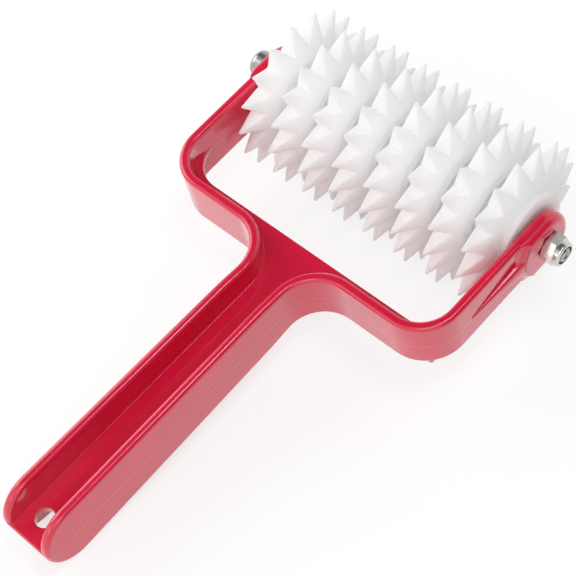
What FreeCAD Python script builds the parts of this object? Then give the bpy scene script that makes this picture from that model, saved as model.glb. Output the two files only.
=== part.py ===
"""Dough docker: a roller of spiked discs that turns in a one-piece moulded fork and handle."""
import FreeCAD, Part
import math
import os

Vector = FreeCAD.Vector

# All sizes are in millimetres. While the pieces are made, the axle lies along X at the origin,
# the handle runs towards -Y and Z is across the height of the walls.

# Spiked discs
DISC_COUNT = 8
DISC_WIDTH = 14.3
SPIKE_COUNT = 17
SPIKE_TIP_RADIUS = 31.7
SPIKE_TIP_LENGTH = 0.9        # blunt end of each spike, along the axle
SPIKE_TIP_WIDTH = 0.6         # blunt end of each spike, round the disc
SPIKE_VALLEY_RADIUS = 21.0    # bottom of the notch between two spikes of one disc
HUB_RADIUS = 15.5             # bottom of the groove between two discs
HUB_FLATS_PER_SPIKE = 2       # flats that make up the round of the hub
SPIKE_ROOT_LENGTH = 9.8       # spike along the axle where it meets the hub
KEY_WIDTH = 4.0               # tongues that lock each disc to the next one
KEY_HEIGHT = 2.4
KEY_INNER_RADIUS = 7.0
KEY_OUTER_RADIUS = 12.0
KEY_SIDE_CLEARANCE = 0.15
KEY_END_CLEARANCE = 0.4
ROLLER_END_PLAY = 0.8         # between the last disc and the arm, each side
ROLLER_BORE_CLEARANCE = 0.08  # radial, on the plain shank

# Fork and handle, seen from above
WALL = 3.8                    # thickness of arms, crossbar and handle walls
ARM_BORE_CLEARANCE = 0.2      # radial, round the shank
AXLE_TO_CROSSBAR_BACK = 59.1
AXLE_TO_TAIL = 187.5
NECK_HALF_WIDTH = 10.1
TAIL_HALF_WIDTH = 11.1
CORNER_RADIUS = 16.0          # outside of the fork's corners
SHOULDER_RADIUS = 14.3        # back of the flare from handle to crossbar

# Fork and handle, seen from the side
FORK_HALF_HEIGHT = 10.8
ARM_END_FORWARD = 11.4        # from the axle to the front of the arm
NECK_HALF_HEIGHT = 11.6
TAIL_HALF_HEIGHT = 13.0
NECK_RISE_LENGTH = 9.0        # over which the handle rises from the fork's height to its own
RIM_ROUNDING = 1.4
RIM_FLATS = 3                 # flats that make up each rounded rim

# Web between the walls
WEB_THICKNESS = 2.9
WEB_LEDGE = 4.2               # how far the web stands out in front of the crossbar wall
WEB_CORNER_RADIUS = 13.0
WEB_EDGE_BEVEL = 0.5
WEB_BURIED = 1.6              # how far the web's edge runs into the walls
HANG_HOLE_RADIUS = 3.5
HANG_HOLE_FROM_TAIL = 9.2

# Bosses at the arm ends and the ribs that lead up to them
BOSS_RISE = 2.55
BOSS_ROUNDING = 3.0
BOSS_FACE_RADIUS = 12.0       # round back of the boss, at its face
BOSS_COVE_RADIUS = 13.2       # where its steep side turns into the cove
BOSS_COVE_RISE = 0.9
BOSS_FOOT_RADIUS = 15.6       # where the cove runs out on the arm
RIB_ROOT = 15.5               # from the axle to the full-height end of the rib
RIB_TIP = 37.5                # from the axle to the end where it runs out
RIB_RISE = 2.0
RIB_THICKNESS = 5.8
RIB_BEVEL = 0.8
RIB_TIP_SHARE = 0.12          # size of the rib's tip against its root
RIB_BURIED = 1.0
STUB_RADIUS = 1.3             # moulding stub under the right-hand corner
STUB_HEIGHT = 1.5

# Axle bolt, with a tall round head and a hexagon socket
BOLT_RADIUS = 2.95
BOLT_PAST_NUT = 0.3
BOLT_END_CHAMFER = 0.6
HEAD_RADIUS = 5.25
HEAD_HEIGHT = 7.5
HEAD_ROUNDING = 2.4
HEAD_FLATS = 4                # flats that make up the rounded edge of the head
SOCKET_ACROSS_FLATS = 4.0
SOCKET_DEPTH = 3.0

# Self-locking nut and its nylon ring
NUT_ACROSS_FLATS = 10.0
NUT_HEIGHT = 6.8
NUT_HEX_HEIGHT = 4.8
NUT_CHAMFER = 0.5
NUT_TURN = -15                # degrees about the bolt
NUT_BORE_CLEARANCE = 0.05
COLLAR_RADIUS = 4.65
COLLAR_CHAMFER = 0.7
RING_RADIUS = 3.95
RING_LENGTH = 1.6
RING_LIP = 0.5                # from the ring's outer face to the end of the nut
RING_SIDE_CLEARANCE = 0.03
RING_BORE_CLEARANCE = 0.02
LIP_RADIUS = 3.55             # opening of the turned-in lip that holds the ring

# Places that follow from the sizes
roller_half = DISC_COUNT * DISC_WIDTH / 2
arm_inner = roller_half + ROLLER_END_PLAY
arm_outer = arm_inner + WALL
boss_face = arm_outer + BOSS_RISE
crossbar_back = -AXLE_TO_CROSSBAR_BACK
crossbar_front = crossbar_back + WALL
web_front = crossbar_front + WEB_LEDGE
tail_end = -AXLE_TO_TAIL
handle_spread = math.atan((TAIL_HALF_WIDTH - NECK_HALF_WIDTH) / (AXLE_TO_TAIL - AXLE_TO_CROSSBAR_BACK))
shoulder_x = NECK_HALF_WIDTH + SHOULDER_RADIUS * (1 + math.sin(handle_spread)) / math.cos(handle_spread)
disc_bore = BOLT_RADIUS + ROLLER_BORE_CLEARANCE
ring_face = NUT_HEIGHT - RING_LIP


def rounded_outline(corners):
    """Closed wire through the corners (x, y, radius), each one rounded by a tangent arc."""
    count = len(corners)
    stretches = []
    for index, (x, y, radius) in enumerate(corners):
        here = Vector(x, y, 0)
        before = Vector(*corners[index - 1][:2], 0) - here
        after = Vector(*corners[(index + 1) % count][:2], 0) - here
        before.normalize()
        after.normalize()
        if radius == 0:
            stretches.append((here, None, here))
            continue
        half_angle = before.getAngle(after) / 2
        reach = radius / math.tan(half_angle)
        inwards = before + after
        inwards.normalize()
        middle = here + inwards * (radius / math.sin(half_angle) - radius)
        stretches.append((here + before * reach, middle, here + after * reach))
    edges = []
    for index, (start, middle, end) in enumerate(stretches):
        if middle is not None:
            edges.append(Part.Arc(start, middle, end).toShape())
        following = stretches[(index + 1) % count][0]
        edges.append(Part.LineSegment(end, following).toShape())
    return Part.Wire(edges)


def plate(outline, bottom, top):
    """Solid between two heights over a flat outline."""
    face = Part.Face(outline)
    face.translate(Vector(0, 0, bottom))
    return face.extrude(Vector(0, 0, top - bottom))


def turned(profile):
    """Solid turned about the axle from (x, radius) corners that start and end on it."""
    points = [Vector(x, radius, 0) for x, radius in profile]
    face = Part.Face(Part.makePolygon(points + [points[0]]))
    return face.revolve(Vector(0, 0, 0), Vector(1, 0, 0), 360)


def rod(radius, start, end, y=0.0, z=0.0):
    """Round bar along X."""
    return Part.makeCylinder(radius, end - start, Vector(start, y, z), Vector(1, 0, 0))


def hexagon_bar(across_flats, start, end):
    """Six-sided bar along X."""
    corner_radius = across_flats / math.sqrt(3)
    corners = []
    for index in range(6):
        angle = math.radians(60 * index)
        corners.append(Vector(start, corner_radius * math.cos(angle), corner_radius * math.sin(angle)))
    face = Part.Face(Part.makePolygon(corners + [corners[0]]))
    return face.extrude(Vector(end - start, 0, 0))


def block_between(first, second):
    """Solid with flat sides between two outlines that have the same number of corners."""
    faces = [Part.Face(Part.makePolygon(outline + [outline[0]])) for outline in (first, second)]
    for index in range(len(first)):
        corners = [first[index - 1], first[index], second[index], second[index - 1]]
        faces.append(Part.Face(Part.makePolygon(corners + [corners[0]])))
    return Part.makeSolid(Part.makeShell(faces))


def mirrored(solid):
    """Copy of a solid on the other side of the middle plane."""
    return solid.mirror(Vector(0, 0, 0), Vector(1, 0, 0))


def quarter_round(rounding, half_height):
    """Depths and heights of the corners of a rounded edge, from the side of a wall to its top."""
    corners = []
    for index in range(RIM_FLATS + 1):
        angle = math.pi / 2 * index / RIM_FLATS
        depth = rounding * (1 - math.cos(angle))
        corners.append((depth, half_height - rounding * (1 - math.sin(angle))))
    return corners


def wall_section(place, inwards, half_height, thickness=WALL, outer_rounding=RIM_ROUNDING):
    """Corners of an upright section with rounded rims, from a place on the wall's outer face inwards."""
    outer = quarter_round(outer_rounding, half_height)
    inner = quarter_round(RIM_ROUNDING, half_height)
    top = outer + [(thickness - depth, height) for depth, height in reversed(inner)]
    bottom = [(depth, -height) for depth, height in reversed(top)]
    return [place + inwards * depth + Vector(0, 0, height) for depth, height in top + bottom]


def round_end(place, inwards, half_height, forwards, thickness=WALL, outer_rounding=RIM_ROUNDING):
    """Half-round end of a wall, turned about a line across it."""
    section = wall_section(place, inwards, half_height, thickness, outer_rounding)
    corners = [corner for corner in section if corner.z > 0]
    corners += [place + inwards * thickness, place]
    face = Part.Face(Part.makePolygon(corners + [corners[0]]))
    axis = Vector(0, 0, 1).cross(forwards)
    return face.revolve(place, axis, 180)


def bend(section, centre, angle):
    """Wall section turned about an upright line."""
    face = Part.Face(Part.makePolygon(section + [section[0]]))
    return face.revolve(centre, Vector(0, 0, 1), angle)


def arm_end(back, thickness, outer_rounding):
    """Straight stretch of the right-hand arm from a place behind the axle to its round end."""
    inwards = Vector(-1, 0, 0)
    face = arm_inner + thickness
    end_place = Vector(face, ARM_END_FORWARD - FORK_HALF_HEIGHT, 0)
    at_back = wall_section(Vector(face, back, 0), inwards, FORK_HALF_HEIGHT, thickness, outer_rounding)
    at_end = wall_section(end_place, inwards, FORK_HALF_HEIGHT, thickness, outer_rounding)
    stretch = block_between(at_back, at_end)
    forwards = Vector(0, 1, 0)
    tip = round_end(end_place, inwards, FORK_HALF_HEIGHT, forwards, thickness, outer_rounding)
    return stretch.fuse(tip)


def boss():
    """Thicker end of the right-hand arm, with a round back that runs out on the arm in a cove."""
    blank = arm_end(-2 * BOSS_FOOT_RADIUS, WALL + BOSS_RISE, BOSS_ROUNDING)
    round_back = turned([
        (0, 0),
        (0, BOSS_FOOT_RADIUS),
        (arm_outer, BOSS_FOOT_RADIUS),
        (arm_outer + BOSS_COVE_RISE, BOSS_COVE_RADIUS),
        (boss_face, BOSS_FACE_RADIUS),
        (boss_face, 0),
    ])
    return blank.common(round_back)


def crossbar():
    """Right-hand half of the crossbar, with the corner at the arm and the shoulder at the handle."""
    inwards = Vector(0, 1, 0)
    corner_x = arm_outer - CORNER_RADIUS
    at_corner = wall_section(Vector(corner_x, crossbar_back, 0), inwards, FORK_HALF_HEIGHT)
    at_shoulder = wall_section(Vector(shoulder_x, crossbar_back, 0), inwards, FORK_HALF_HEIGHT)
    corner_centre = Vector(corner_x, crossbar_back + CORNER_RADIUS, 0)
    shoulder_centre = Vector(shoulder_x, crossbar_back - SHOULDER_RADIUS, 0)
    return [
        bend(at_corner, corner_centre, 90),
        block_between(at_corner, at_shoulder),
        bend(at_shoulder, shoulder_centre, 90 + math.degrees(handle_spread)),
    ]


def handle_side():
    """Right-hand wall of the handle, which rises from the fork's height and ends in a round tail."""
    backwards = Vector(math.sin(handle_spread), -math.cos(handle_spread), 0)
    inwards = Vector(-math.cos(handle_spread), -math.sin(handle_spread), 0)
    neck_place = Vector(shoulder_x, crossbar_back - SHOULDER_RADIUS, 0) + inwards * SHOULDER_RADIUS
    rise_place = neck_place + backwards * NECK_RISE_LENGTH
    run = (rise_place.y - tail_end) / math.cos(handle_spread) - TAIL_HALF_HEIGHT
    tail_place = rise_place + backwards * run
    at_neck = wall_section(neck_place, inwards, FORK_HALF_HEIGHT)
    at_rise = wall_section(rise_place, inwards, NECK_HALF_HEIGHT)
    at_tail = wall_section(tail_place, inwards, TAIL_HALF_HEIGHT)
    return [
        block_between(at_neck, at_rise),
        block_between(at_rise, at_tail),
        round_end(tail_place, inwards, TAIL_HALF_HEIGHT, backwards),
    ]


def web():
    """Flat web at mid-height, from the tail to its ledge in front of the crossbar, with bevelled edges."""
    tail_reach = TAIL_HALF_WIDTH - WALL + WEB_BURIED
    neck_reach = NECK_HALF_WIDTH - WALL + WEB_BURIED
    back = crossbar_front - WEB_BURIED
    outer = arm_inner + WEB_BURIED
    arm_end = web_front + WEB_CORNER_RADIUS + WEB_BURIED
    right = [
        (tail_reach, tail_end, 0),
        (neck_reach, back, SHOULDER_RADIUS + WALL - WEB_BURIED),
        (outer, back, CORNER_RADIUS - WALL + WEB_BURIED),
        (outer, arm_end, 0),
        (arm_inner, arm_end, 0),
        (arm_inner, web_front, WEB_CORNER_RADIUS),
    ]
    left = [(-x, y, radius) for x, y, radius in reversed(right)]
    solid = plate(rounded_outline(right + left), -WEB_THICKNESS / 2, WEB_THICKNESS / 2)
    open_edges = []
    for edge in solid.Edges:
        middle = edge.CenterOfMass
        upright = abs(middle.z) < WEB_THICKNESS / 4
        at_front = web_front - WEB_BURIED < middle.y < arm_end and abs(middle.x) < arm_inner
        at_tail = middle.y < tail_end + WEB_BURIED
        if not upright and (at_front or at_tail):
            open_edges.append(edge)
    return solid.makeChamfer(WEB_EDGE_BEVEL, open_edges)


def boss_rib():
    """Rib at mid-height outside the right-hand arm, from the boss back to where it runs out."""
    def section(y, share):
        edge = arm_outer + RIB_RISE * share
        half = RIB_THICKNESS / 2 * share
        bevel = RIB_BEVEL * share
        upper = [(arm_outer - RIB_BURIED, half), (edge - bevel, half), (edge, half - bevel)]
        lower = [(x, -z) for x, z in reversed(upper)]
        return [Vector(x, y, z) for x, z in upper + lower]

    at_tip = section(-RIB_TIP, RIB_TIP_SHARE)
    at_root = section(-RIB_ROOT, 1)
    at_boss = section(-BOSS_FACE_RADIUS + RIB_BURIED, 1)
    return block_between(at_tip, at_root).fuse(block_between(at_root, at_boss))


def handle_yoke():
    """The one-piece moulding: two walls joined by the web, bosses, ribs, bores and hanging hole."""
    arm = arm_end(crossbar_back + CORNER_RADIUS, WALL, RIM_ROUNDING)
    right = [arm, boss(), boss_rib()] + crossbar() + handle_side()
    corner_middle = (CORNER_RADIUS - WALL / 2) * math.sqrt(0.5)
    stub_x = arm_outer - CORNER_RADIUS + corner_middle
    stub_y = crossbar_back + CORNER_RADIUS - corner_middle
    stub_end = Vector(stub_x, stub_y, -FORK_HALF_HEIGHT - STUB_HEIGHT)
    stub = Part.makeCylinder(STUB_RADIUS, 2 * STUB_HEIGHT, stub_end)
    left = [mirrored(solid) for solid in right]
    whole = web().multiFuse(right + left + [stub]).removeSplitter()
    bore = rod(BOLT_RADIUS + ARM_BORE_CLEARANCE, -2 * boss_face, 2 * boss_face)
    hole_start = Vector(0, tail_end + HANG_HOLE_FROM_TAIL, -TAIL_HALF_HEIGHT)
    hole = Part.makeCylinder(HANG_HOLE_RADIUS, 2 * TAIL_HALF_HEIGHT, hole_start)
    return whole.cut([bore, hole])


def axle_bolt():
    """Screw through both bosses and the roller, with its tall round head on the left."""
    head_seat = -boss_face
    crown = head_seat - HEAD_HEIGHT
    shank_end = boss_face + NUT_HEIGHT + BOLT_PAST_NUT
    shank = turned([(head_seat, 0), (head_seat, BOLT_RADIUS), (shank_end - BOLT_END_CHAMFER, BOLT_RADIUS),
                    (shank_end, BOLT_RADIUS - BOLT_END_CHAMFER), (shank_end, 0)])
    rounded_edge = []
    for index in range(HEAD_FLATS + 1):
        angle = math.pi / 2 * index / HEAD_FLATS
        x = crown + HEAD_ROUNDING * (1 - math.sin(angle))
        rounded_edge.append((x, HEAD_RADIUS - HEAD_ROUNDING * (1 - math.cos(angle))))
    head = turned([(head_seat, 0), (head_seat, HEAD_RADIUS)] + rounded_edge + [(crown, 0)])
    socket = hexagon_bar(SOCKET_ACROSS_FLATS, crown - SOCKET_DEPTH, crown + SOCKET_DEPTH)
    return head.fuse(shank).cut(socket).removeSplitter()


def lock_nut():
    """Self-locking nut on the right-hand boss: hexagon, round collar and a groove for the nylon ring."""
    corner_radius = NUT_ACROSS_FLATS / math.sqrt(3)
    envelope = turned([
        (0, 0),
        (0, corner_radius),
        (NUT_HEX_HEIGHT - NUT_CHAMFER, corner_radius),
        (NUT_HEX_HEIGHT, COLLAR_RADIUS),
        (NUT_HEIGHT - COLLAR_CHAMFER, COLLAR_RADIUS),
        (NUT_HEIGHT, COLLAR_RADIUS - COLLAR_CHAMFER),
        (NUT_HEIGHT, 0),
    ])
    solid = hexagon_bar(NUT_ACROSS_FLATS, 0, NUT_HEIGHT).common(envelope)
    solid = solid.cut([
        rod(BOLT_RADIUS + NUT_BORE_CLEARANCE, -NUT_HEIGHT, 2 * NUT_HEIGHT),
        rod(RING_RADIUS, ring_face - RING_LENGTH, ring_face),
        rod(LIP_RADIUS, ring_face, 2 * NUT_HEIGHT),
    ])
    solid.rotate(Vector(0, 0, 0), Vector(1, 0, 0), NUT_TURN)
    solid.translate(Vector(boss_face, 0, 0))
    return solid


def lock_nut_insert():
    """Nylon ring in the nut's collar, tight on the bolt."""
    start = boss_face + ring_face - RING_LENGTH
    end = boss_face + ring_face
    ring = rod(RING_RADIUS - RING_SIDE_CLEARANCE, start, end)
    return ring.cut(rod(BOLT_RADIUS + RING_BORE_CLEARANCE, start - 1, end + 1))


def spike_phase():
    """Angle of one spike that puts two rows of spikes evenly on the table, in the yoke's own frame."""
    return -math.pi / 2 - rest_lean() + math.pi / SPIKE_COUNT


def rest_lean():
    """Angle between the yoke and the table when it lies on two rows of spikes and on its tail."""
    half_step = math.pi / SPIKE_COUNT
    axle_height = SPIKE_TIP_RADIUS * math.cos(half_step) + SPIKE_TIP_WIDTH / 2 * math.sin(half_step)
    return math.asin((axle_height - TAIL_HALF_HEIGHT) / (AXLE_TO_TAIL - TAIL_HALF_HEIGHT))


def star_bar(start, end):
    """Bar along X with the star section of one disc; its points are cut back later to the tip radius."""
    half_step = math.pi / SPIKE_COUNT
    valley_along = SPIKE_VALLEY_RADIUS * math.cos(half_step)
    valley_across = SPIKE_VALLEY_RADIUS * math.sin(half_step)
    half_tip = SPIKE_TIP_WIDTH / 2
    point = SPIKE_TIP_RADIUS + half_tip * (SPIKE_TIP_RADIUS - valley_along) / (valley_across - half_tip)
    corners = []
    for index in range(2 * SPIKE_COUNT):
        angle = spike_phase() + index * half_step
        radius = point if index % 2 == 0 else SPIKE_VALLEY_RADIUS
        corners.append(Vector(start, radius * math.cos(angle), radius * math.sin(angle)))
    face = Part.Face(Part.makePolygon(corners + [corners[0]]))
    return face.extrude(Vector(end - start, 0, 0))


def many_sided_ring(x, side_distance, sides):
    """Corners round the axle of an even outline with one side across each spike, at a given distance."""
    half_step = math.pi / sides
    corner_radius = side_distance / math.cos(half_step)
    corners = []
    for index in range(sides):
        angle = spike_phase() + (2 * index + 1) * half_step
        corners.append(Vector(x, corner_radius * math.cos(angle), corner_radius * math.sin(angle)))
    return corners


def spike_disc(index):
    """One moulded disc: spikes with four flat sides on a round hub, keyed to the next disc."""
    start = -roller_half + index * DISC_WIDTH
    end = start + DISC_WIDTH
    middle = (start + end) / 2
    half_tip = SPIKE_TIP_LENGTH / 2
    flank = (SPIKE_ROOT_LENGTH / 2 - half_tip) / (SPIKE_TIP_RADIUS - HUB_RADIUS)
    foot_radius = HUB_RADIUS / 2
    half_foot = half_tip + flank * (SPIKE_TIP_RADIUS - foot_radius)
    rings = [
        many_sided_ring(middle - half_foot, foot_radius, SPIKE_COUNT),
        many_sided_ring(middle - half_tip, SPIKE_TIP_RADIUS, SPIKE_COUNT),
        many_sided_ring(middle + half_tip, SPIKE_TIP_RADIUS, SPIKE_COUNT),
        many_sided_ring(middle + half_foot, foot_radius, SPIKE_COUNT),
    ]
    blocks = [block_between(rings[step], rings[step + 1]) for step in range(3)]
    flanks = blocks[0].multiFuse(blocks[1:])
    spikes = star_bar(start, end).common(flanks)
    hub_sides = HUB_FLATS_PER_SPIKE * SPIKE_COUNT
    hub_ends = [many_sided_ring(x, HUB_RADIUS, hub_sides) for x in (start, end)]
    hub = block_between(*hub_ends)
    solid = spikes.fuse(hub)
    cuts = [rod(disc_bore, start - DISC_WIDTH, end + DISC_WIDTH)]
    tongues = []
    for turn in (0, 180):
        angle = math.degrees(spike_phase()) + turn
        cuts.append(key(start, KEY_HEIGHT + KEY_END_CLEARANCE, KEY_SIDE_CLEARANCE, angle))
        tongues.append(key(end, KEY_HEIGHT, 0, angle))
    solid = solid.cut(cuts)
    if index < DISC_COUNT - 1:
        solid = solid.fuse(tongues)
    return solid.removeSplitter()


def key(face, height, clearance, angle):
    """Tongue that stands on a disc's face; with a clearance, the slot for it."""
    width = KEY_WIDTH + 2 * clearance
    length = KEY_OUTER_RADIUS - KEY_INNER_RADIUS + 2 * clearance
    corner = Vector(face, KEY_INNER_RADIUS - clearance, -width / 2)
    tongue = Part.makeBox(height, length, width, corner)
    tongue.rotate(Vector(0, 0, 0), Vector(1, 0, 0), angle)
    return tongue


def laid_on_table(pieces):
    """Lays the pieces down as they rest: table at Z = 0, with the origin under the middle of the whole."""
    lean = math.degrees(rest_lean())
    for shape in pieces.values():
        shape.rotate(Vector(0, 0, 0), Vector(1, 0, 0), lean)
    box = Part.makeCompound(list(pieces.values())).optimalBoundingBox(False)
    shift = Vector(-(box.XMin + box.XMax) / 2, -(box.YMin + box.YMax) / 2, -box.ZMin)
    for shape in pieces.values():
        shape.translate(shift)
    return shift


def main():
    pieces = {
        "handle_yoke": handle_yoke(),
        "axle_bolt": axle_bolt(),
        "lock_nut": lock_nut(),
        "lock_nut_insert": lock_nut_insert(),
    }
    for index in range(DISC_COUNT):
        pieces["spike_disc_%d" % (index + 1)] = spike_disc(index)
    shift = laid_on_table(pieces)
    print("lean %.4f degrees, axle at (%.4f, %.4f, %.4f)" % (math.degrees(rest_lean()), *shift))
    os.makedirs("parts", exist_ok=True)
    for name, shape in pieces.items():
        solid = shape.Solids[0]
        print(name, len(shape.Solids), shape.isValid(), "%.1f mm3" % shape.Volume)
        solid.exportStep("parts/%s.step" % name)


main()
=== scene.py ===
"""Dough docker: a red moulded fork and handle with a roller of white spiked discs on a bolt."""
import math
import bmesh
import bpy
from mathutils import Matrix, Vector


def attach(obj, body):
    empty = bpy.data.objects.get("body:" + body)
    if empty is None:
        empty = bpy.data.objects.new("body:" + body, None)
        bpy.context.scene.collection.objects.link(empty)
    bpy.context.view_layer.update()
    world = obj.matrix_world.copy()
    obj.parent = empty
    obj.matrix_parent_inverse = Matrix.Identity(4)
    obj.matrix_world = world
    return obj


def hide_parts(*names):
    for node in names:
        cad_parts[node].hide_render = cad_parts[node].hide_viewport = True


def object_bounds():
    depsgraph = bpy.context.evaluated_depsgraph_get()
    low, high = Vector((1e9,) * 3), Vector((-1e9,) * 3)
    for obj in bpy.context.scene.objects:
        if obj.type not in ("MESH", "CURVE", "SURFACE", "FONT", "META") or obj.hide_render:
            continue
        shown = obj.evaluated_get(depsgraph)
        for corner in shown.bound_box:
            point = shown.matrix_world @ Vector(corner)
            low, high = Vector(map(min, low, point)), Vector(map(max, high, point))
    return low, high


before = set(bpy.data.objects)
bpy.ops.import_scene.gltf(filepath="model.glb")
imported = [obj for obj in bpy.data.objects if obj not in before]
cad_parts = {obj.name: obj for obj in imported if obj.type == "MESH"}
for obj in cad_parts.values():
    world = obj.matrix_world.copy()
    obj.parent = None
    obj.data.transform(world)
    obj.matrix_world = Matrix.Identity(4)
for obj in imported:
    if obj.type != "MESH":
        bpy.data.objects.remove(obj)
cad_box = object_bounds()

MM = 0.001

# The photograph's camera: its place in metres, two of its directions and its lens
CAMERA_PLACE = Vector((0.2598, -0.2042, 0.4846))
CAMERA_BACKWARD = Vector((0.4486, -0.3796, 0.8091))
CAMERA_RIGHT = Vector((0.7295, 0.6785, -0.0861))
IMAGE_SIZE = 576
FOCAL_LENGTH_PIXELS = 1669
SENSOR_WIDTH = 36.0

# Axle and the lean of the yoke on the table
AXLE = Vector((0.2, 77.4912, 31.2174)) * MM
LEAN = math.radians(5.9918)
YOKE_UP = Vector((0, -math.sin(LEAN), math.cos(LEAN)))
YOKE_FORWARD = Vector((0, math.cos(LEAN), math.sin(LEAN)))

# Meshes taken from the CAD: welding, whole flat faces, rounded edges and crisp ones
WELD_DISTANCE = 0.002 * MM
FLAT_ANGLE = math.radians(0.6)
BEVEL_ANGLE = math.radians(24)
SMOOTH_ANGLE = math.radians(38)
EDGE_SEGMENTS = 2
EDGE_PROFILE = 0.5            # an arc
NUT_RING_EDGE = 0.15 * MM
DISC_EDGE = 0.27 * MM
DISC_COUNT = 8
DISC_WIDTH = 14.3 * MM

# Bolt, along X from the left: socket, head, shank and thread
RING_POINTS = 60
HALF_FLAT = math.pi / 6       # half the angle that one side of a hexagon takes up
BOLT_RADIUS = 2.95 * MM
HEAD_RADIUS = 5.25 * MM
HEAD_HEIGHT = 7.5 * MM
HEAD_ROUNDING = 2.4 * MM
HEAD_ROUNDING_STEPS = 10
SEAT_CHAMFER = 0.25 * MM
SOCKET_ACROSS_FLATS = 4.0 * MM
SOCKET_DEPTH = 3.0 * MM
SOCKET_CHAMFER = 0.3 * MM
SOCKET_CONE = 0.7 * MM
SOCKET_TIP_RADIUS = 0.1 * MM
BOSS_FACE = 64.35 * MM
NUT_HEIGHT = 6.8 * MM
BOLT_PAST_NUT = 0.3 * MM
THREAD_LENGTH = 16.0 * MM
THREAD_PITCH = 1.0 * MM
THREAD_DEPTH = 0.5 * MM
THREAD_STEEPNESS = 1.25       # of the flanks, enough to leave the root flat
THREAD_CREST = 0.12           # what is taken off the groove, which leaves the crest flat
THREAD_STEPS_PER_TURN = 10
THREAD_RUN_OUT = 2.0 * MM
LEAD_IN_LENGTH = 0.9 * MM
LEAD_IN_DEPTH = 1.3           # in depths of the thread
END_CUP_RADIUS = 1.8 * MM
END_CUP_DEPTH = 0.4 * MM
END_CUP_MIDDLE = 0.3 * MM

# Nut, along X from the boss: hexagon with cut corners, round collar with a turned-in lip
NUT_ACROSS_FLATS = 10.0 * MM
NUT_HEX_HEIGHT = 4.8 * MM
NUT_CORNER_CUT = 0.5 * MM
NUT_CUT_STEPS = 5
NUT_TURN = math.radians(-15) + LEAN
NUT_BORE = 3.0 * MM
COLLAR_RADIUS = 4.65 * MM
COLLAR_ROUNDING = 0.7 * MM
COLLAR_STEPS = 6
LIP_RADIUS = 3.55 * MM
LIP_THICKNESS = 0.5 * MM
NUT_RING_RADIUS = 3.95 * MM
NUT_RING_LENGTH = 1.6 * MM

# Noises: features per metre, detail, and a factor on the features along X, Y and Z
NOISE_RANGE = (0.3, 0.7)      # where most values of a noise lie
RED_CLOUD = (42, 3, None)
RED_FLOW = (60, 4, (1, 0.35, 1))
RED_PEEL = (420, 2, None)
RED_STREAKS = (260, 2, (0.12, 0.12, 1))
WHITE_CLOUD = (90, 3, None)
WHITE_GRAIN = (700, 3, None)
STEEL_PATCHES = (500, 4, None)
STEEL_RINGS = (5000, 2, None)
NYLON_CLOUD = (900, 3, None)

# Bumps: strength and distance
RED_PEEL_BUMP = (0.05, 0.3 * MM)
RED_LINE_BUMP = (0.45, 0.16 * MM)
RED_STREAK_BUMP = (0.12, 0.25 * MM)
WHITE_GRAIN_BUMP = (0.08, 0.2 * MM)
STEEL_RING_BUMP = (0.10, 0.05 * MM)
NYLON_BUMP = (0.1, 0.1 * MM)

# Line where the halves of the yoke's mould meet: from its crest to its foot, and from full height to none
LINE_HALF_WIDTHS = (0.15 * MM, 0.75 * MM)
LINE_FADE = (-34 * MM, -24 * MM)   # forward of the axle

# Colours and gloss: a pair holds the two ends that a noise varies between
RED_COLOURS = ((0.665, 0.003, 0.038), (0.735, 0.006, 0.053))
RED_ROUGHNESS = (0.13, 0.24)
RED_IOR = 1.52
RED_COAT = 0.8
RED_COAT_ROUGHNESS = 0.09
RED_EDGE_SOFTNESS = 0.8 * MM
RED_EDGE_SAMPLES = 8
WHITE_COLOURS = ((0.972, 0.974, 0.978), (0.985, 0.986, 0.988))
WHITE_ROUGHNESS = (0.40, 0.54)
WHITE_IOR = 1.48
WHITE_SUBSURFACE = 1.0
WHITE_SUBSURFACE_RADIUS = (1.0, 0.95, 0.95)
WHITE_SUBSURFACE_SCALE = 8.0 * MM
BOLT_COLOURS = ((0.46, 0.455, 0.45), (0.38, 0.375, 0.37))
BOLT_ROUGHNESS = (0.22, 0.34)
NUT_COLOURS = ((0.74, 0.73, 0.70), (0.62, 0.61, 0.58))
NUT_ROUGHNESS = (0.14, 0.28)
NYLON_COLOURS = ((0.050, 0.052, 0.055), (0.085, 0.087, 0.09))
NYLON_ROUGHNESS = (0.4, 0.55)
NYLON_SUBSURFACE = 0.3
NYLON_SUBSURFACE_SCALE = 1.0 * MM

# Floor, which is lifted to white where it is seen straight or in a gloss
FLOOR_HALF = 5.0
FLOOR_ROUGHNESS = 0.9
FLOOR_COLOUR = (0.92, 0.92, 0.92)
FLOOR_SEEN_COLOUR = (0.34, 0.34, 0.34)
FLOOR_SEEN_LIFT = 0.70
FLOOR_LIFT_COLOUR = (1, 1, 1, 1)

# The studio is dark towards two places overhead: steps of nearness to them and grey
DARK_PLACES = (Vector((-0.47, 0.16, 0.87)).normalized(), Vector((0.78, 0.20, 0.59)).normalized())
WORLD_STEPS = ((0.0, 0.97), (0.70, 0.92), (0.90, 0.16), (1.0, 0.12))

# Lamps: name, direction from the object, distance and width in metres, power in watts
LAMPS = (
    ("left_light", (-0.84, -0.16, 0.52), 1.2, 0.90, 5.2),
    ("overhead_light", (0.18, 0.15, 0.97), 0.9, 0.27, 1.1),
    ("handle_side_light", (-0.297, -0.884, 0.36), 1.03, 0.26, 0.3),
    ("front_light", (0.45, -0.38, 0.81), 1.3, 0.85, 3.1),
)


# Nodes that the materials are made of

def new_material(name):
    """Material with its node tree, its Principled shader and the object coordinates."""
    material = bpy.data.materials.new(name)
    material.use_nodes = True
    tree = material.node_tree
    shader = tree.nodes["Principled BSDF"]
    coordinates = tree.nodes.new("ShaderNodeTexCoord").outputs["Object"]
    return material, tree, shader, coordinates


def put(tree, socket, value):
    """Links a node's output to a socket, or sets the socket to a plain value."""
    if isinstance(value, bpy.types.NodeSocket):
        tree.links.new(value, socket)
    else:
        socket.default_value = value


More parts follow.
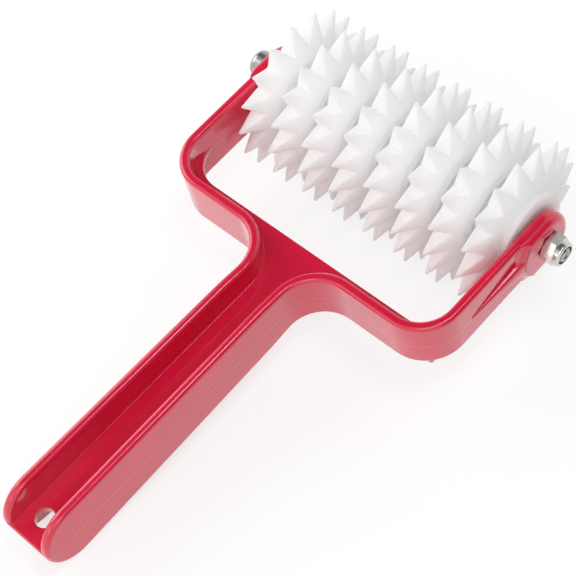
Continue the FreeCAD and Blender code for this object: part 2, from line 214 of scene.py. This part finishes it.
def noise(tree, coordinates, kind):
    """Grey noise of one of the kinds above."""
    scale, detail, factors = kind
    texture = tree.nodes.new("ShaderNodeTexNoise")
    if factors is not None:
        mapping = tree.nodes.new("ShaderNodeMapping")
        mapping.inputs["Scale"].default_value = factors
        tree.links.new(coordinates, mapping.inputs["Vector"])
        coordinates = mapping.outputs["Vector"]
    tree.links.new(coordinates, texture.inputs["Vector"])
    texture.inputs["Scale"].default_value = scale
    texture.inputs["Detail"].default_value = detail
    return texture.outputs["Fac"]


def spread(tree, value, to_range, from_range=NOISE_RANGE):
    """A value taken from one range to another, without going past its ends."""
    ranger = tree.nodes.new("ShaderNodeMapRange")
    tree.links.new(value, ranger.inputs["Value"])
    ranger.inputs["From Min"].default_value = from_range[0]
    ranger.inputs["From Max"].default_value = from_range[1]
    ranger.inputs["To Min"].default_value = to_range[0]
    ranger.inputs["To Max"].default_value = to_range[1]
    return ranger.outputs["Result"]


def mixed_colour(tree, factor, colours):
    """Colour between two others."""
    mix = tree.nodes.new("ShaderNodeMix")
    mix.data_type = "RGBA"
    tree.links.new(factor, mix.inputs["Factor"])
    sockets = [socket for socket in mix.inputs if socket.type == "RGBA"]
    for socket, colour in zip(sockets, colours):
        socket.default_value = (*colour, 1)
    return [socket for socket in mix.outputs if socket.type == "RGBA"][0]


def cloudy_colour(tree, cloud, colours):
    """Colour that a noise varies between two others."""
    return mixed_colour(tree, spread(tree, cloud, (0, 1)), colours)


def bump(tree, height, kind, normal=None):
    """Normal tilted by a height, by one of the bumps above."""
    strength, distance = kind
    node = tree.nodes.new("ShaderNodeBump")
    tree.links.new(height, node.inputs["Height"])
    node.inputs["Strength"].default_value = strength
    node.inputs["Distance"].default_value = distance
    if normal is not None:
        tree.links.new(normal, node.inputs["Normal"])
    return node.outputs["Normal"]


def maths(tree, operation, first, second=0.0):
    """One sum on two values."""
    node = tree.nodes.new("ShaderNodeMath")
    node.operation = operation
    put(tree, node.inputs[0], first)
    put(tree, node.inputs[1], second)
    return node.outputs["Value"]


def distance_along(tree, coordinates, direction, origin):
    """Distance of a point from a plane through the origin, square to a direction."""
    dot = tree.nodes.new("ShaderNodeVectorMath")
    dot.operation = "DOT_PRODUCT"
    tree.links.new(coordinates, dot.inputs[0])
    dot.inputs[1].default_value = direction
    return maths(tree, "SUBTRACT", dot.outputs["Value"], direction.dot(origin))


# Materials

def moulding_line(tree, coordinates):
    """Low ridge round the yoke at mid-height, which runs out along the arms."""
    off_line = maths(tree, "ABSOLUTE", distance_along(tree, coordinates, YOKE_UP, AXLE))
    ridge = spread(tree, off_line, (1, 0), LINE_HALF_WIDTHS)
    forward = distance_along(tree, coordinates, YOKE_FORWARD, AXLE)
    return maths(tree, "MULTIPLY", ridge, spread(tree, forward, (1, 0), LINE_FADE))


def red_plastic():
    """Glossy moulded plastic with cloudy gloss, slight orange peel, flow streaks and a moulding line."""
    material, tree, shader, coordinates = new_material("red_plastic")
    cloud = noise(tree, coordinates, RED_CLOUD)
    tree.links.new(cloudy_colour(tree, cloud, RED_COLOURS), shader.inputs["Base Color"])
    flow = noise(tree, coordinates, RED_FLOW)
    tree.links.new(spread(tree, flow, RED_ROUGHNESS), shader.inputs["Roughness"])
    shader.inputs["IOR"].default_value = RED_IOR
    shader.inputs["Coat Weight"].default_value = RED_COAT
    shader.inputs["Coat Roughness"].default_value = RED_COAT_ROUGHNESS
    soft_edges = tree.nodes.new("ShaderNodeBevel")
    soft_edges.samples = RED_EDGE_SAMPLES
    soft_edges.inputs["Radius"].default_value = RED_EDGE_SOFTNESS
    peel = noise(tree, coordinates, RED_PEEL)
    normal = bump(tree, peel, RED_PEEL_BUMP, soft_edges.outputs["Normal"])
    normal = bump(tree, moulding_line(tree, coordinates), RED_LINE_BUMP, normal)
    streaks = noise(tree, coordinates, RED_STREAKS)
    normal = bump(tree, streaks, RED_STREAK_BUMP, normal)
    tree.links.new(normal, shader.inputs["Normal"])
    return material


def white_plastic():
    """Milky plastic that lets light in, with a fine matt grain."""
    material, tree, shader, coordinates = new_material("white_plastic")
    cloud = noise(tree, coordinates, WHITE_CLOUD)
    tree.links.new(cloudy_colour(tree, cloud, WHITE_COLOURS), shader.inputs["Base Color"])
    grain = noise(tree, coordinates, WHITE_GRAIN)
    tree.links.new(spread(tree, grain, WHITE_ROUGHNESS), shader.inputs["Roughness"])
    shader.inputs["Subsurface Weight"].default_value = WHITE_SUBSURFACE
    shader.inputs["Subsurface Radius"].default_value = WHITE_SUBSURFACE_RADIUS
    shader.inputs["Subsurface Scale"].default_value = WHITE_SUBSURFACE_SCALE
    shader.inputs["IOR"].default_value = WHITE_IOR
    tree.links.new(bump(tree, grain, WHITE_GRAIN_BUMP), shader.inputs["Normal"])
    return material


def turned_rings(tree, coordinates):
    """Noise that runs in rings round the axle, as a lathe leaves it."""
    shift = tree.nodes.new("ShaderNodeVectorMath")
    shift.operation = "SUBTRACT"
    tree.links.new(coordinates, shift.inputs[0])
    shift.inputs[1].default_value = AXLE
    parts = tree.nodes.new("ShaderNodeSeparateXYZ")
    tree.links.new(shift.outputs["Vector"], parts.inputs["Vector"])
    across = maths(tree, "MULTIPLY", parts.outputs["Y"], parts.outputs["Y"])
    upwards = maths(tree, "MULTIPLY", parts.outputs["Z"], parts.outputs["Z"])
    radius = maths(tree, "SQRT", maths(tree, "ADD", across, upwards))
    rings = tree.nodes.new("ShaderNodeCombineXYZ")
    tree.links.new(parts.outputs["X"], rings.inputs["X"])
    tree.links.new(radius, rings.inputs["Y"])
    return noise(tree, rings.outputs["Vector"], STEEL_RINGS)


def steel(name, colours, roughness):
    """Plated steel with turning marks and dull patches."""
    material, tree, shader, coordinates = new_material(name)
    patches = noise(tree, coordinates, STEEL_PATCHES)
    tree.links.new(cloudy_colour(tree, patches, colours), shader.inputs["Base Color"])
    shader.inputs["Metallic"].default_value = 1.0
    tree.links.new(spread(tree, patches, roughness), shader.inputs["Roughness"])
    normal = bump(tree, turned_rings(tree, coordinates), STEEL_RING_BUMP)
    tree.links.new(normal, shader.inputs["Normal"])
    return material


def nylon():
    """Nylon of the ring in the nut, coloured near black."""
    material, tree, shader, coordinates = new_material("nylon")
    cloud = noise(tree, coordinates, NYLON_CLOUD)
    tree.links.new(cloudy_colour(tree, cloud, NYLON_COLOURS), shader.inputs["Base Color"])
    tree.links.new(spread(tree, cloud, NYLON_ROUGHNESS), shader.inputs["Roughness"])
    shader.inputs["Subsurface Weight"].default_value = NYLON_SUBSURFACE
    shader.inputs["Subsurface Scale"].default_value = NYLON_SUBSURFACE_SCALE
    tree.links.new(bump(tree, cloud, NYLON_BUMP), shader.inputs["Normal"])
    return material


# Shapes

def new_piece(mesh, name, node, body, material):
    """Object that stands for a CAD node, on its body, with smooth rounds and crisp edges."""
    mesh.name = name
    mesh.shade_smooth()
    mesh.set_sharp_from_angle(angle=SMOOTH_ANGLE)
    mesh.materials.clear()
    mesh.materials.append(material)
    piece = bpy.data.objects.new(name, mesh)
    bpy.context.scene.collection.objects.link(piece)
    even = piece.modifiers.new("even_normals", "WEIGHTED_NORMAL")
    even.keep_sharp = True
    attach(piece, body)
    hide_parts(node)


def cad_copy(node, edge_radius=0.0):
    """Mesh of a CAD node with its flat faces made whole and, with a radius, its sharp edges rounded."""
    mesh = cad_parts[node].data.copy()
    shape = bmesh.new()
    shape.from_mesh(mesh)
    bmesh.ops.remove_doubles(shape, verts=shape.verts, dist=WELD_DISTANCE)
    bmesh.ops.dissolve_limit(shape, angle_limit=FLAT_ANGLE, verts=shape.verts, edges=shape.edges)
    if edge_radius > 0:
        sharp = [edge for edge in shape.edges if edge.calc_face_angle(0) > BEVEL_ANGLE]
        bmesh.ops.bevel(shape, geom=sharp, offset=edge_radius, segments=EDGE_SEGMENTS,
                        profile=EDGE_PROFILE, affect="EDGES", clamp_overlap=True)
    shape.to_mesh(mesh)
    shape.free()
    return mesh


def ring(x, radius_at, turn=0.0):
    """Ring of points round the axle, with a radius for each angle from its first point."""
    points = []
    for index in range(RING_POINTS):
        angle = 2 * math.pi * index / RING_POINTS
        radius = radius_at(angle)
        points.append(Vector((x, radius * math.cos(angle + turn), radius * math.sin(angle + turn))))
    return points


def circle(x, radius, turn=0.0):
    """Round ring of points."""
    return ring(x, lambda angle: radius, turn)


def hexagon_radius(angle, across_flats):
    """Distance from the middle of a hexagon to its edge, at an angle from the middle of a flat."""
    from_flat = (angle + HALF_FLAT) % (2 * HALF_FLAT) - HALF_FLAT
    return across_flats / 2 / math.cos(from_flat)


def socket_ring(x):
    """Ring of the hexagon socket in the bolt's head."""
    return ring(x, lambda angle: hexagon_radius(angle, SOCKET_ACROSS_FLATS))


def thread_radius(x, angle, start, end):
    """Radius of the threaded part of the bolt at a place along it and an angle round it."""
    turns = (x - start) / THREAD_PITCH - angle / (2 * math.pi)
    groove = abs(2 * (turns % 1.0) - 1)
    groove = min(max(THREAD_STEEPNESS * groove - THREAD_CREST, 0), 1)
    fade = min((x - start) / THREAD_RUN_OUT, 1)
    radius = BOLT_RADIUS - THREAD_DEPTH * groove * fade
    lead = max(x - (end - LEAD_IN_LENGTH), 0)
    return min(radius, BOLT_RADIUS - lead * THREAD_DEPTH * LEAD_IN_DEPTH / LEAD_IN_LENGTH)


def thread_ring(x, start, end):
    """Ring of the threaded part of the bolt."""
    return ring(x, lambda angle: thread_radius(x, angle, start, end))


def bolt_rings():
    """Rings of the bolt, from the bottom of its socket over the head and along the thread to its end."""
    seat = -BOSS_FACE
    crown = seat - HEAD_HEIGHT
    end = BOSS_FACE + NUT_HEIGHT + BOLT_PAST_NUT
    start = end - THREAD_LENGTH
    rings = [
        circle(crown + SOCKET_DEPTH + SOCKET_CONE, SOCKET_TIP_RADIUS),
        socket_ring(crown + SOCKET_DEPTH),
        socket_ring(crown + SOCKET_CHAMFER),
        circle(crown, SOCKET_ACROSS_FLATS / math.sqrt(3) + SOCKET_CHAMFER / 2),
    ]
    for step in range(HEAD_ROUNDING_STEPS + 1):
        angle = math.pi / 2 * step / HEAD_ROUNDING_STEPS
        x = crown + HEAD_ROUNDING * (1 - math.cos(angle))
        rings.append(circle(x, HEAD_RADIUS - HEAD_ROUNDING * (1 - math.sin(angle))))
    rings.append(circle(seat - SEAT_CHAMFER, HEAD_RADIUS))
    rings.append(circle(seat, HEAD_RADIUS - SEAT_CHAMFER))
    rings.append(circle(seat, BOLT_RADIUS))
    steps = round(THREAD_LENGTH / THREAD_PITCH * THREAD_STEPS_PER_TURN)
    for step in range(steps + 1):
        rings.append(thread_ring(start + THREAD_LENGTH * step / steps, start, end))
    rings.append(circle(end, END_CUP_RADIUS))
    rings.append(circle(end - END_CUP_DEPTH, END_CUP_RADIUS - END_CUP_DEPTH))
    rings.append(circle(end - END_CUP_DEPTH, END_CUP_MIDDLE))
    return rings


def nut_hexagon(along):
    """Ring of the nut's hexagon at a distance from the boss, with its corners cut at both ends."""
    corner_radius = NUT_ACROSS_FLATS / math.sqrt(3)
    from_end = min(along, NUT_HEX_HEIGHT - along)
    widest = COLLAR_RADIUS + (corner_radius - COLLAR_RADIUS) * from_end / NUT_CORNER_CUT

    def radius_at(from_corner):
        return min(hexagon_radius(from_corner - HALF_FLAT, NUT_ACROSS_FLATS), widest)

    return ring(BOSS_FACE + along, radius_at, NUT_TURN)


def nut_rings():
    """Rings of the nut, from its seat over the hexagon and the collar and back through the bore."""
    end = BOSS_FACE + NUT_HEIGHT
    ring_outside = end - LIP_THICKNESS
    ring_inside = ring_outside - NUT_RING_LENGTH
    cuts = [NUT_CORNER_CUT * step / NUT_CUT_STEPS for step in range(NUT_CUT_STEPS + 1)]
    rings = [nut_hexagon(along) for along in cuts]
    rings += [nut_hexagon(NUT_HEX_HEIGHT - along) for along in reversed(cuts)]
    for step in range(COLLAR_STEPS + 1):
        angle = math.pi / 2 * step / COLLAR_STEPS
        x = end - COLLAR_ROUNDING * (1 - math.sin(angle))
        rings.append(circle(x, COLLAR_RADIUS - COLLAR_ROUNDING * (1 - math.cos(angle)), NUT_TURN))
    inside = (
        (end, LIP_RADIUS),
        (ring_outside, LIP_RADIUS),
        (ring_outside, NUT_RING_RADIUS),
        (ring_inside, NUT_RING_RADIUS),
        (ring_inside, NUT_BORE),
        (BOSS_FACE, NUT_BORE),
    )
    rings += [circle(x, radius, NUT_TURN) for x, radius in inside]
    return rings


def ring_mesh(rings, is_tube):
    """Closed mesh through rings: a tube's last ring joins its first, a rod's end rings are filled."""
    shape = bmesh.new()
    loops = [[shape.verts.new(AXLE + point) for point in points] for points in rings]
    pairs = list(zip(loops, loops[1:]))
    if is_tube:
        pairs.append((loops[-1], loops[0]))
    else:
        shape.faces.new(loops[0])
        shape.faces.new(reversed(loops[-1]))
    for first, second in pairs:
        for index in range(RING_POINTS):
            shape.faces.new((first[index - 1], first[index], second[index], second[index - 1]))
    bmesh.ops.recalc_face_normals(shape, faces=shape.faces)
    mesh = bpy.data.meshes.new("rings")
    shape.to_mesh(mesh)
    shape.free()
    return mesh


def disc_meshes():
    """Meshes of the discs from the left: all are like the first but the last, which has no tongues."""
    first = cad_copy("spike_disc_1", DISC_EDGE)
    meshes = [first]
    for index in range(1, DISC_COUNT - 1):
        mesh = first.copy()
        mesh.transform(Matrix.Translation((DISC_WIDTH * index, 0, 0)))
        meshes.append(mesh)
    meshes.append(cad_copy("spike_disc_%d" % DISC_COUNT, DISC_EDGE))
    return meshes


def make_pieces():
    """Every piece of the object, each in place of its CAD node."""
    yoke = cad_copy("handle_yoke")
    new_piece(yoke, "yoke", "handle_yoke", "frame", red_plastic())
    bolt = ring_mesh(bolt_rings(), is_tube=False)
    bolt_steel = steel("bolt_steel", BOLT_COLOURS, BOLT_ROUGHNESS)
    new_piece(bolt, "bolt", "axle_bolt", "frame", bolt_steel)
    nut = ring_mesh(nut_rings(), is_tube=True)
    nut_steel = steel("nut_steel", NUT_COLOURS, NUT_ROUGHNESS)
    new_piece(nut, "nut", "lock_nut", "frame", nut_steel)
    nut_ring = cad_copy("lock_nut_insert", NUT_RING_EDGE)
    new_piece(nut_ring, "nut_ring", "lock_nut_insert", "frame", nylon())
    white = white_plastic()
    for number, disc in enumerate(disc_meshes(), 1):
        new_piece(disc, "disc_%d" % number, "spike_disc_%d" % number, "roller", white)


# Floor, light and camera

def make_floor():
    """Pale floor that keeps the shadow and reads as white in the picture and in reflections."""
    mesh = bpy.data.meshes.new("floor")
    corners = [(-FLOOR_HALF, -FLOOR_HALF, 0), (FLOOR_HALF, -FLOOR_HALF, 0),
               (FLOOR_HALF, FLOOR_HALF, 0), (-FLOOR_HALF, FLOOR_HALF, 0)]
    mesh.from_pydata(corners, [], [(0, 1, 2, 3)])
    material = bpy.data.materials.new("floor")
    material.use_nodes = True
    tree = material.node_tree
    shader = tree.nodes["Principled BSDF"]
    shader.inputs["Roughness"].default_value = FLOOR_ROUGHNESS
    shader.inputs["Specular IOR Level"].default_value = 0.0
    shader.inputs["Emission Color"].default_value = FLOOR_LIFT_COLOUR
    ray = tree.nodes.new("ShaderNodeLightPath")
    seen = maths(tree, "MAXIMUM", ray.outputs["Is Camera Ray"], ray.outputs["Is Glossy Ray"])
    colour = mixed_colour(tree, seen, (FLOOR_COLOUR, FLOOR_SEEN_COLOUR))
    tree.links.new(colour, shader.inputs["Base Color"])
    tree.links.new(maths(tree, "MULTIPLY", seen, FLOOR_SEEN_LIFT), shader.inputs["Emission Strength"])
    mesh.materials.append(material)
    floor = bpy.data.objects.new("floor", mesh)
    bpy.context.scene.collection.objects.link(floor)


def make_world():
    """Studio that is white all round and dark at two places overhead."""
    world = bpy.data.worlds.new("studio")
    world.use_nodes = True
    tree = world.node_tree
    coordinates = tree.nodes.new("ShaderNodeTexCoord").outputs["Generated"]
    centre = Vector((0, 0, 0))
    first, second = [distance_along(tree, coordinates, place, centre) for place in DARK_PLACES]
    nearness = maths(tree, "MAXIMUM", first, second)
    ramp = tree.nodes.new("ShaderNodeValToRGB")
    while len(ramp.color_ramp.elements) < len(WORLD_STEPS):
        ramp.color_ramp.elements.new(1.0)
    for element, (place, grey) in zip(ramp.color_ramp.elements, WORLD_STEPS):
        element.position = place
        element.color = (grey, grey, grey, 1)
    tree.links.new(nearness, ramp.inputs["Fac"])
    tree.links.new(ramp.outputs["Color"], tree.nodes["Background"].inputs["Color"])
    bpy.context.scene.world = world


def make_lamps():
    """Square soft lamps that face the middle of the object."""
    middle = (Vector(cad_box[0]) + Vector(cad_box[1])) / 2
    for name, direction, distance, width, power in LAMPS:
        towards = Vector(direction).normalized()
        light = bpy.data.lights.new(name, "AREA")
        light.shape = "SQUARE"
        light.size = width
        light.energy = power
        lamp = bpy.data.objects.new(name, light)
        lamp.location = middle + towards * distance
        lamp.rotation_euler = towards.to_track_quat("Z", "Y").to_euler()
        bpy.context.scene.collection.objects.link(lamp)


def make_camera():
    """Camera at the photograph's place, turned about its line of sight as the photograph is."""
    backward = CAMERA_BACKWARD.normalized()
    upward = backward.cross(CAMERA_RIGHT).normalized()
    rightward = upward.cross(backward)
    turn = Matrix((rightward, upward, backward)).transposed()
    data = bpy.data.cameras.new("camera")
    data.sensor_width = SENSOR_WIDTH
    data.lens = FOCAL_LENGTH_PIXELS / IMAGE_SIZE * SENSOR_WIDTH
    camera = bpy.data.objects.new("camera", data)
    camera.matrix_world = Matrix.Translation(CAMERA_PLACE) @ turn.to_4x4()
    bpy.context.scene.collection.objects.link(camera)
    bpy.context.scene.camera = camera


make_pieces()
make_floor()
make_world()
make_lamps()
make_camera()
bpy.context.scene.view_settings.view_transform = "Standard"
